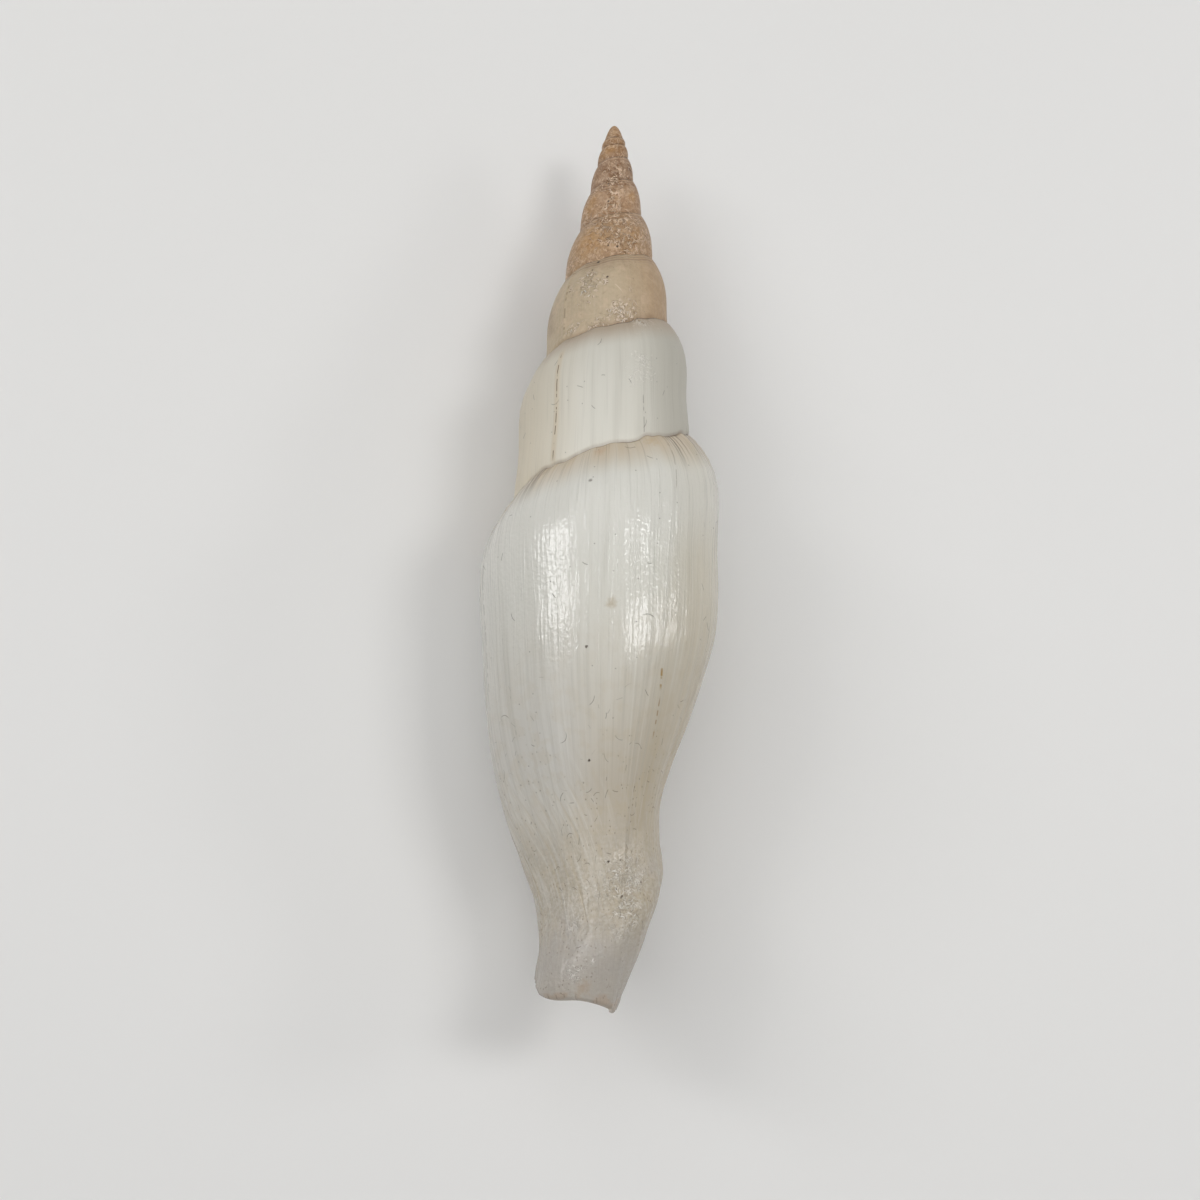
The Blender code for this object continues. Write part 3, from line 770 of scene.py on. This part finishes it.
def shellPaint():
    # one glazed surface: colour by growth, zones and marks over it, then gloss and relief
    paint = Paint("shellGlaze")
    growth = paint.node("ShaderNodeAttribute", {"attribute_name": "growth"}, output=1)
    inside = paint.node("ShaderNodeAttribute", {"attribute_name": "inside"}, output=2)
    above = paint.node("ShaderNodeAttribute", {"attribute_name": "above"}, output=2)
    turn, below, depth = paint.parts(growth)
    place = paint.node("ShaderNodeTexCoord", output=3)
    place = paint.node("ShaderNodeVectorMath", {"operation": "SCALE"}, {0: place, "Scale": 1000.0})

    spire = turn.ramp(-1.75, -2.1)
    last = turn.ramp(-1.01, -0.99)
    second = (1 - spire) * (1 - last)
    lower = last * (depth - turn * 20 - 7).ramp(60, 92)
    foot = last * depth.ramp(86, 100)
    mottle, blotch, grain, speck = [paint.noise(place, *size) for size in finish["noises"].values()]

    def growthNoise(name):
        # short round the shell and long down it
        aTurn, aMillimetre, detail = finish["growthLines"][name]
        return paint.noise(paint.vector(turn * aTurn, depth * aMillimetre), 1.0, detail)

    streak, stria, hairline = growthNoise("streak"), growthNoise("stria"), growthNoise("hairline")
    ripple, peel = growthNoise("ripple"), growthNoise("peel")
    # thin raised lines: where a slow noise is at its middle
    raised = contour(growthNoise("raised"), 0.5, 0.035)
    # on the foot the growth lines run aslant
    leaning = turn * finish["millimetresATurn"] + depth * finish["leanOfLines"]
    aslant = paint.noise(paint.vector(leaning * 1.3, depth * 0.12), 1.0, 2)

    rough = wornPatches(turn, below, mottle, (blotch - 0.5) * 6 + (grain - 0.5) * 3)
    etched = rough.ramp(0.1, 0.6)
    # worm-like marks: the contour lines of a noise, in pieces; their painted shadow is the next contour
    worm = paint.noise(place, 1.3, 1, 0.5, 0.5)
    pieces = paint.noise(place, 1.9, 1).ramp(0.42, 0.52)
    crinkle = contour(worm, 0.5, 0.055).larger(contour(worm, 0.63, 0.05)) * pieces
    shadow = contour(worm, 0.42, 0.035).larger(contour(worm, 0.565, 0.03)) * pieces
    lumps = paint.noise(place, 2.4, 2, 0.6)
    pocks = paint.cells(place, 1.2).ramp(0.3, 0.14) * grain.ramp(0.46, 0.54)

    # colour along the growth, then streaks, zones, painted shade and light, and marks over it
    first, end = finish["growthColours"][0][0], finish["growthColours"][-1][0]
    stops = [((t - first) / (end - first), srgb(*colour)) for t, colour in finish["growthColours"]]
    colour = paint.node("ShaderNodeValToRGB", {"stops": stops}, {0: turn.ramp(first, end, soft=False)})

    def over(amount, name):
        # a named colour laid over what is there so far
        return paint.mix(amount, colour, srgb(*finish[name]))

    colour = over(spire * mottle.ramp(0.5, 0.35) * 0.35, "brownAndShade")
    for atTurn, atBelow, radius in finish["orangePatches"]:
        mark = spotMask(turn, below, atTurn, atBelow, radius, 1.0, (blotch - 0.5) * 2)
        colour = over(mark * 0.8, "orange")
    colour = over(spire * blotch.ramp(0.5, 0.7) * 0.2, "worn")
    grainy = spire * (0.35 + 0.65 * turn.ramp(-2.9, -3.1))
    colour = over(grainy * grain.ramp(0.5, 0.66) * 0.22, "worn")
    colour = over(grainy * grain.ramp(0.5, 0.34) * 0.28, "brownAndShade")
    colour = over((1 - spire) * streak.ramp(0.52, 0.72) * 0.2, "greyStreakAndShade")
    colour = over((1 - spire) * streak.ramp(0.48, 0.3) * (0.2 - second * 0.1), "paleGlazeAndLight")
    colour = over(second * turn.ramp(-1.34, -1.2) * 0.35, "warmStreakAndShade")
    # the second whorl is darker towards the suture above it
    colour = over(second * below.ramp(16.0, 2.0) * 0.3, "greyStreakAndShade")
    # painted shade: the second whorl's right side darkened
    colour = over(second * turn.ramp(-1.41, -1.51) * 0.65, "greyStreakAndShade")
    # painted shade: a band under the second whorl's suture
    colour = over(second * below.ramp(3.8, 0.5), "paintedSutureShade")
    # painted shade: the belly's left side darkened
    colour = over(last * turn.ramp(-0.32, -0.2) * 0.15, "greyStreakAndShade")
    # painted shade: the belly's right side darkened
    colour = over(last * turn.ramp(-0.43, -0.52) * 0.45, "warmStreakAndShade")
    # painted light: a lighter band across the upper belly under the shoulder
    colour = over(last * below.ramp(2, 6) * below.ramp(17, 9) * 0.6, "paleGlazeAndLight")
    colour = over(lower, "lower")
    cool = lower * turn.ramp(-0.38, -0.28)
    colour = over(cool * depth.ramp(96, 80) * 0.85, "coolLower")
    colour = over(lower * turn.ramp(-0.4, -0.5) * (0.2 + streak.ramp(0.35, 0.6) * 0.35), "beigeLower")
    colour = over(lower * blotch.ramp(0.45, 0.62) * 0.25, "beigeLower")
    colour = over(lower * turn.ramp(-0.37, -0.27) * depth.ramp(82, 92) * 0.35, "paleGlazeAndLight")
    colour = over(foot * 0.75, "foot")
    colour = over(foot * mottle.ramp(0.46, 0.6) * 0.3, "beigeLower")
    colour = over(foot * mottle.ramp(0.44, 0.3) * 0.6, "lilac")
    colour = over(foot * blotch.ramp(0.5, 0.62) * 0.2, "blushAndShade")
    colour = over(foot * grain.ramp(0.5, 0.66) * 0.2, "paleGlazeAndLight")
    colour = over(foot * grain.ramp(0.5, 0.34) * 0.14, "scratch")
    slanting = last * depth.ramp(80, 90) * depth.ramp(107, 100) * (0.3 + 0.7 * turn.ramp(-0.42, -0.3))
    colour = over(slanting * aslant.ramp(0.5, 0.68) * 0.28, "paleGlazeAndLight")
    colour = over(slanting * aslant.ramp(0.48, 0.3) * 0.3, "beigeLower")
    colour = over(last * depth.ramp(99, 107) * 0.8, "footEnd")
    # painted shade: a brownish band under the body's suture, where the shoulder turns away
    shade = last * below.ramp(5.4, 0.5) * (0.75 + 0.25 * streak.ramp(0.35, 0.6))
    colour = over(shade, "blushAndShade")
    belly = last * below.ramp(6, 16)
    lineShade = (0.07 + 0.1 * belly + 0.15 * lower) * (1 - foot * 0.5)
    colour = over(stria.ramp(0.52, 0.7) * lineShade, "greyStreakAndShade")
    colour = over(stria.ramp(0.48, 0.3) * (0.05 + 0.13 * belly) * (1 - foot), "paleGlazeAndLight")
    colour = over(hairline.ramp(0.55, 0.75) * (0.1 + shade * 0.2), "scratch")
    # growth lines crowd together and catch dirt on the shoulders
    shoulder = (turn.ramp(-0.47, -0.49) + turn.ramp(-0.28, -0.25)).smaller(1.0)
    shoulder = last * below.ramp(5.5, 0.3) * shoulder
    colour = over(shoulder * stria.ramp(0.47, 0.62) * 0.75, "scratch")
    colour = over(last * depth.ramp(108.9, 109.3) * blotch.ramp(0.4, 0.6) * 0.3, "warmRim")

    # painted shade in the sutures and in the fine spiral grooves under them, and a pale band just under
    # the spire's sutures
    # painted shade: brown in the spiral grooves
    groove = spire * turn.ramp(-4.9, -4.6) * below.ramp(0.1, 0.3) * below.ramp(1.5, 1.1)
    groove = groove * wave(below, 0.46)
    colour = over(groove * 0.45, "brownAndShade")
    colour = over(spire * below.ramp(0.55, 0.35) * below.ramp(0.2, 0.35) * 0.25, "worn")
    patchy = blotch.ramp(0.35, 0.6)
    # painted shade: a dark line along every suture
    colour = over(below.ramp(0.28, 0.05) * (0.4 + 0.6 * patchy) * (0.8 - 0.2 * last), "grimeAndShade")
    # painted shade: brown along the lower edge of each whorl, where it meets the next suture
    colour = over(above.ramp(0.5, 0.05) * (0.5 + 0.5 * patchy) * (0.35 - 0.1 * spire), "brownAndShade")

    etchedSpire = spire * (0.4 * turn.ramp(-2.9, -3.1) + etched * 0.6)
    # painted shadow beside the worn marks on the spire
    colour = over(shadow * etchedSpire * 0.38, "brownAndShade")
    colour = over(crinkle * etchedSpire, "worn")
    # painted glints: near-white on the worn marks off the spire, standing in for the lamps' sparkles
    colour = over(crinkle * etched * turn.ramp(-2.9, -2.7) * (0.35 - spire * 0.1), "paintedGlint")
    # painted shadow beside the worn marks elsewhere, in the scratch colour
    colour = over(shadow * etched * (1 - spire) * 0.12, "scratch")
    deepPocks = pocks * rough.ramp(0.5, 0.8) * (0.3 + 0.7 * turn.ramp(-2.9, -3.1))
    colour = over(deepPocks * 0.42, "grimeAndShade")
    # painted glints: short near-white strokes in the rough patches, standing in for sparkles
    glints = strokes(paint, turn, depth, 1.0, 0.32, 0.12, 0.4)
    glints = glints * rough.ramp(0.3, 0.7) * turn.ramp(-2.9, -2.7)
    colour = over(glints * 0.65, "paintedGlint")
    sparse = strokes(paint, turn, depth, 3.4, 0.55, 0.07, 0.3) * (1 - spire)
    dense = strokes(paint, turn + 0.37, depth, 1.9, 0.45, 0.07, 0.45) * lower * mottle.ramp(0.4, 0.55)
    freckle = dots(paint, turn, depth, 2.2, 0.12, 0.2)
    stipple = dots(paint, turn + 0.61, depth, 0.8, 0.16, 0.5) * last * depth.ramp(76, 88)
    freckle = freckle.larger(stipple * blotch.ramp(0.5, 0.58))
    scratch = sparse.larger(dense)
    colour = over(scratch * 0.6, "scratch")
    colour = over(freckle * 0.5, "scratch")

    colour, pitDepth = singleMarks(paint, colour, turn, below, growthNoise("broken"), grain, speck)

    # the mouth: cream near the lip and the notch, tan deeper in
    colour = over(inside.ramp(0.2, 0.9), "mouth")
    deep = inside.ramp(0.9, 1.0) * turn.ramp(-0.02, -0.3) * depth.ramp(109, 96)
    colour = over(deep * 0.8, "deepMouth")
    paint.feed(paint.shader.inputs["Base Color"], colour)

    # glaze is left on the belly only; it shows the lamps sharply, the rest is duller
    glaze = last * (1 - last * depth.ramp(66, 84)) * below.ramp(2.0, 6.0)
    gloss, relief = finish["gloss"], finish["relief"]
    dull = (1 - last) * (gloss["dull"] - etched * gloss["dull"] + (blotch - 0.5) * gloss["uneven"])
    roughness = gloss["roughness"] - glaze * gloss["glaze"] + dull - inside * gloss["mouth"]
    paint.feed(paint.shader.inputs["Roughness"], roughness)
    paint.feed(paint.shader.inputs["Specular IOR Level"], 0.5)

    # growth lines and the grain of the glaze, then wear, then marks
    lineHeight = relief["lines"] + shoulder * relief["shoulderLines"] + glaze * relief["glazeLines"]
    height = (stria - 0.5) * lineHeight + (hairline - 0.5) * relief["hairlines"]
    height = height + ((ripple - 0.5) * relief["ripple"] + raised * relief["raisedLines"]) * glaze
    height = height + (peel - 0.5) * (relief["peel"] + glaze * relief["glazePeel"])
    height = height * (1 - inside)
    worn = rough * (relief["wornLumps"] + spire * relief["wornSpire"])
    height = height + (lumps - 0.5) * (worn + spire * relief["spireLumps"] + foot * relief["footLumps"])
    height = height + (crinkle - shadow) * (etchedSpire + rough) * relief["wormMarks"]
    height = height - deepPocks * relief["pocks"] - pitDepth
    height = height + (aslant - 0.5) * slanting * relief["aslantLines"] + glints * relief["glints"]
    height = height - groove * relief["grooves"] - scratch * relief["scratches"]
    height = height - freckle * relief["freckles"]
    bump = paint.node("ShaderNodeBump", None, {"Strength": 1.0, "Distance": 0.001, "Height": height})
    paint.feed(paint.shader.inputs["Normal"], bump)
    return paint.material


studio = {
    "lookFrom": (-30.2, 73.2),     # azimuth and elevation, degrees
    "distance": 291.9,             # millimetres
    "lookAt": (0.18, -6.57, 12.39),
    "upward": (-0.0575, 0.9682, 0.2435),
    "lens": 74.25,                 # for a sensor of this width
    "sensor": 36,
    "floorHalf": 1.5,              # metres
    "floorColour": (0.80, 0.79, 0.77),
    "floorRoughness": 0.8,
    "lampAim": (0, -6, 12),
    # name, azimuth, elevation, distance, width and height in metres, watts
    "lamps": (("left window", -108, 38, 0.55, 0.09, 0.25, 0.62),
              ("right window", 104.5, 62, 0.55, 0.125, 0.18, 0.68),
              ("low right window", 99, 31, 0.55, 0.12, 0.09, 0.28),
              ("overhead", -115, 72, 1.2, 1.6, 1.6, 7.0),
              ("fill", 50, 40, 1.2, 1.2, 1.2, 1.0)),
    "roomColour": (0.95, 0.97, 1.0, 1),
    "roomStrength": 0.22,
}


def directionTo(azimuth, elevation):
    # (sin a cos e, -cos a cos e, sin e): azimuth from the front, elevation from the floor
    azimuth, elevation = np.radians([azimuth, elevation])
    return Vector((np.sin(azimuth) * np.cos(elevation), -np.cos(azimuth) * np.cos(elevation),
                   np.sin(elevation)))


def makeCamera():
    # looks back along its direction, turned so that the given way is up
    back = directionTo(*studio["lookFrom"])
    right = Vector(studio["upward"]).cross(back).normalized()
    up = back.cross(right)
    camera = bpy.data.objects.new("camera", bpy.data.cameras.new("camera"))
    bpy.context.scene.collection.objects.link(camera)
    place = (Vector(studio["lookAt"]) + back * studio["distance"]) * 0.001
    camera.matrix_world = Matrix.Translation(place) @ Matrix((right, up, back)).transposed().to_4x4()
    camera.data.lens = studio["lens"]
    camera.data.sensor_width = studio["sensor"]
    camera.data.clip_start = 0.01
    bpy.context.scene.camera = camera


def makeFloor():
    # a square sheet at the level that the shell rests on
    half = studio["floorHalf"]
    mesh = bpy.data.meshes.new("floor")
    corners = [(-half, -half, 0), (half, -half, 0), (half, half, 0), (-half, half, 0)]
    mesh.from_pydata(corners, [], [(0, 1, 2, 3)])
    paint = Paint("floorPaper")
    paint.feed(paint.shader.inputs["Base Color"], (*studio["floorColour"], 1.0))
    paint.feed(paint.shader.inputs["Roughness"], studio["floorRoughness"])
    mesh.materials.append(paint.material)
    floor = bpy.data.objects.new("floor", mesh)
    bpy.context.scene.collection.objects.link(floor)


def addSoftbox(name, azimuth, elevation, distance, width, height, power):
    # an area light on a sphere round the shell, facing it
    away = directionTo(azimuth, elevation)
    light = bpy.data.lights.new(name, "AREA")
    light.shape = "RECTANGLE"
    light.size, light.size_y, light.energy = width, height, power
    lamp = bpy.data.objects.new(name, light)
    bpy.context.scene.collection.objects.link(lamp)
    place = Vector(studio["lampAim"]) * 0.001 + away * distance
    lamp.matrix_world = Matrix.Translation(place) @ away.to_track_quat("Z", "Y").to_matrix().to_4x4()


def lightStudio():
    # the lamps, and an even dim light from everywhere
    for lamp in studio["lamps"]:
        addSoftbox(*lamp)
    world = bpy.data.worlds.new("room")
    world.use_nodes = True
    background = world.node_tree.nodes["Background"].inputs
    background["Color"].default_value = studio["roomColour"]
    background["Strength"].default_value = studio["roomStrength"]
    bpy.context.scene.world = world
    bpy.context.scene.view_settings.view_transform = "Standard"


shell = makeShell()
shell.data.materials.append(shellPaint())
print("shell painted")
makeFloor()
lightStudio()
makeCamera()
print("studio set")
